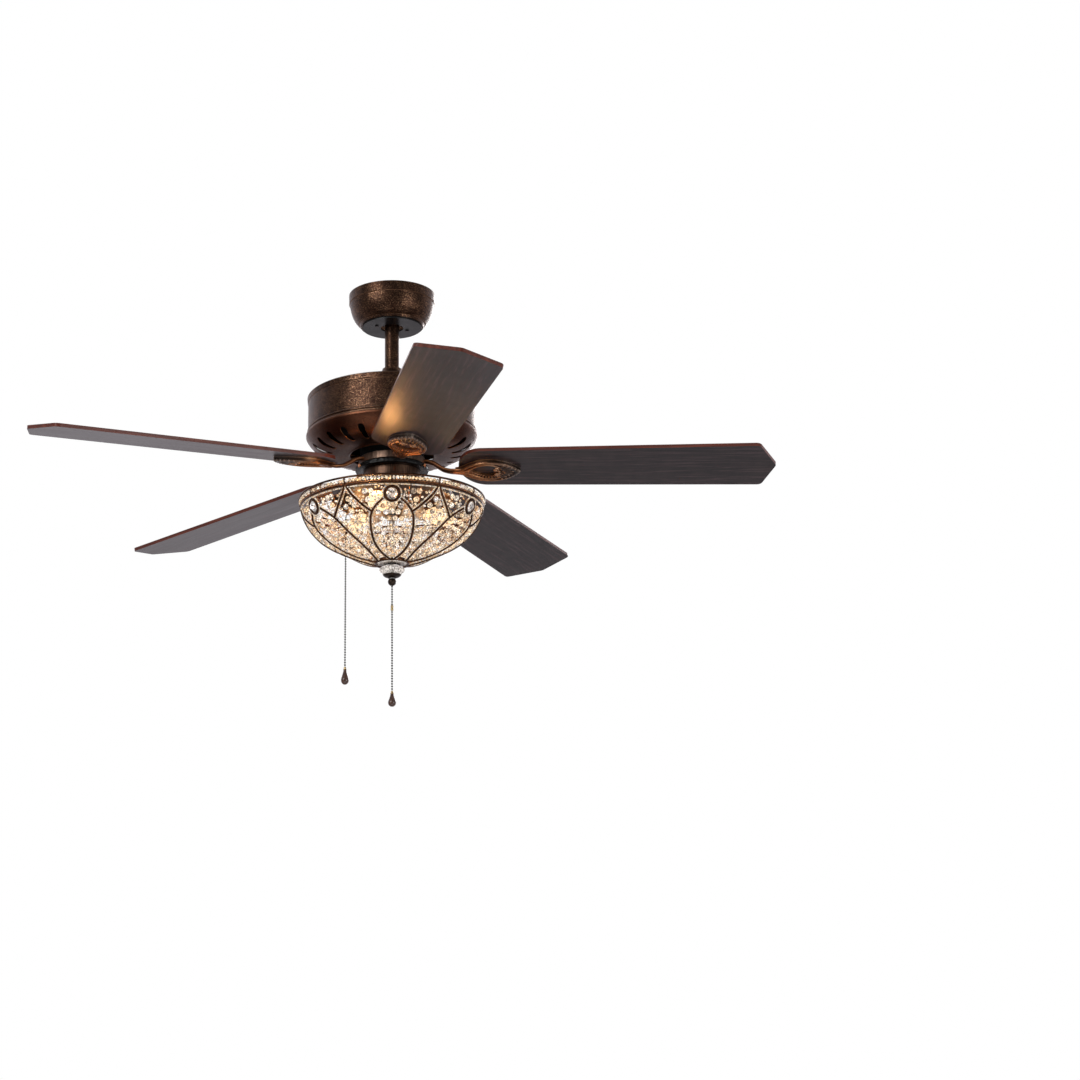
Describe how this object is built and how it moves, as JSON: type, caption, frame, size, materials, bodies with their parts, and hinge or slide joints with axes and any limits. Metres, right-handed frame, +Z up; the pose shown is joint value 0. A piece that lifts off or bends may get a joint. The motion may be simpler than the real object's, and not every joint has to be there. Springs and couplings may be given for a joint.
{
  "type": "ceiling fan with light",
  "caption": "Ceiling fan on a short downrod, with arrow-tipped wood blades on copper irons, and a crystal bowl light below with two pull chains.",
  "frame": {"origin": "on the fan axis in the ceiling plane, at the top face of the hanger bracket", "axes": "+Z up along the fan axis; X along the bracket bar and its two box screws; -Y is the side the fan is looked at from"},
  "size_m": [1.2471, 1.2461, 0.745],
  "materials": {
    "bearing_steel": "ground bearing steel",
    "black_enamel": "charcoal black enamel",
    "blade_wood": "walnut veneer with mahogany edge, satin lacquer",
    "brass_screw": "brass plated",
    "capacitor_case": "moulded black case",
    "cast_aluminium": "die cast, matt",
    "chain_bronze": "dark bronze bead chain",
    "clear_crystal": "clear cut crystal",
    "connector_brass": "brass bead-chain coupling",
    "copper": "enamelled copper wire",
    "copper_screw": "copper plated",
    "cup_bronze": "antique bronze, brushed speckle",
    "dark_screw": "black oxide steel",
    "finial_bronze": "dark bronze, satin",
    "fob_wood": "turned dark wood, lacquered",
    "frame_bronze": "dark bronze wire, satin",
    "iron_copper": "antique copper bronze, rubbed highlights",
    "lamination": "electrical steel laminations",
    "lamp_brass": "lamp cap",
    "lamp_glass": "warm frosted lamp glass, lit",
    "nylon": "moulded black nylon",
    "pan_bronze": "dark bronze, satin",
    "rotor_black": "die casting in black enamel",
    "slider_white": "moulded slider",
    "smooth_bronze": "dark bronze, smooth satin",
    "socket_white": "moulded lamp holder",
    "speckled_bronze": "dark antique bronze, hammered speckle with copper flecks, satin",
    "strung_crystal": "cut crystal beads, clear with a warm cast",
    "switch_case": "phenolic switch case",
    "zinc_steel": "zinc plated steel, satin"
  },
  "bodies": {
    "ceiling_mount": {"hanger_bracket": "zinc_steel", "canopy": "speckled_bronze", "canopy_plate": "black_enamel", "canopy_screws": "dark_screw"},
    "seat_liner": {"seat_liner": "nylon"},
    "hanging_frame": {"hanger_ball": "nylon", "downrod": "speckled_bronze", "hanging_pins": "zinc_steel", "yoke_cover": "speckled_bronze", "motor_yoke": "zinc_steel", "housing_screws": "zinc_steel", "upper_housing": "speckled_bronze", "lower_housing": "smooth_bronze", "motor_shaft": "zinc_steel", "stator_core": "lamination", "stator_windings": "copper", "mounting_plate": "black_enamel", "cup_screws": "copper_screw", "switch_cup": "cup_bronze", "lock_nuts": "zinc_steel", "capacitor": "capacitor_case", "light_switch": "switch_case", "speed_switch": "switch_case", "reverse_switch": "switch_case", "light_pan": "pan_bronze", "centre_rod": "zinc_steel", "socket_hub": "pan_bronze", "lamp_sockets": "socket_white", "lamp_bases": "lamp_brass", "lamps": "lamp_glass", "bowl_frame": "frame_bronze", "bowl_crystals": "strung_crystal", "medallion_crystals": "clear_crystal", "finial_flange": "clear_crystal", "finial_collar": "black_enamel", "finial_crystal": "clear_crystal", "finial_cap": "finial_bronze", "finial_knob": "finial_bronze"},
    "rotor": {"rotor_top_cover": "cast_aluminium", "rotor_bottom_cover": "rotor_black", "rotor_cage": "lamination", "bearings": "bearing_steel", "blade_screws": "brass_screw", "iron_screws": "dark_screw", "blade_front": "blade_wood", "blade_right": "blade_wood", "blade_back_right": "blade_wood", "blade_back_left": "blade_wood", "blade_left": "blade_wood", "blade_iron_front": "iron_copper", "blade_iron_right": "iron_copper", "blade_iron_back_right": "iron_copper", "blade_iron_back_left": "iron_copper", "blade_iron_left": "iron_copper"},
    "fan_pull": {"fan_chain": "chain_bronze", "fan_fob": "fob_wood"},
    "light_pull": {"light_chain": "chain_bronze", "chain_connector": "connector_brass", "light_fob": "fob_wood"},
    "reverse_slider": {"reverse_slider": "slider_white"}
  },
  "joints": [
    {"name": "sway_side", "type": "hinge", "parent": "ceiling_mount", "child": "seat_liner", "pos_m": [0, 0, -0.04], "axis": [1, 0, 0], "range_deg": [-10, 10]},
    {"name": "sway_along", "type": "hinge", "parent": "seat_liner", "child": "hanging_frame", "pos_m": [0, 0, -0.04], "axis": [0, 1, 0], "range_deg": [-10, 10]},
    {"name": "rotor_spin", "type": "hinge", "parent": "hanging_frame", "child": "rotor", "pos_m": [0, 0, -0.3], "axis": [0, 0, 1], "continuous": true},
    {"name": "fan_pull_slide", "type": "slide", "parent": "hanging_frame", "child": "fan_pull", "axis": [0, 0, -1], "range_m": [0, 0.01], "stiffness_N_per_m": 500, "springref_m": -0.001},
    {"name": "light_pull_slide", "type": "slide", "parent": "hanging_frame", "child": "light_pull", "axis": [0, 0, -1], "range_m": [0, 0.01], "stiffness_N_per_m": 500, "springref_m": -0.001},
    {"name": "reverse_slide", "type": "slide", "parent": "hanging_frame", "child": "reverse_slider", "axis": [1, 0, 0], "range_m": [0, 0.006]}
  ]
}
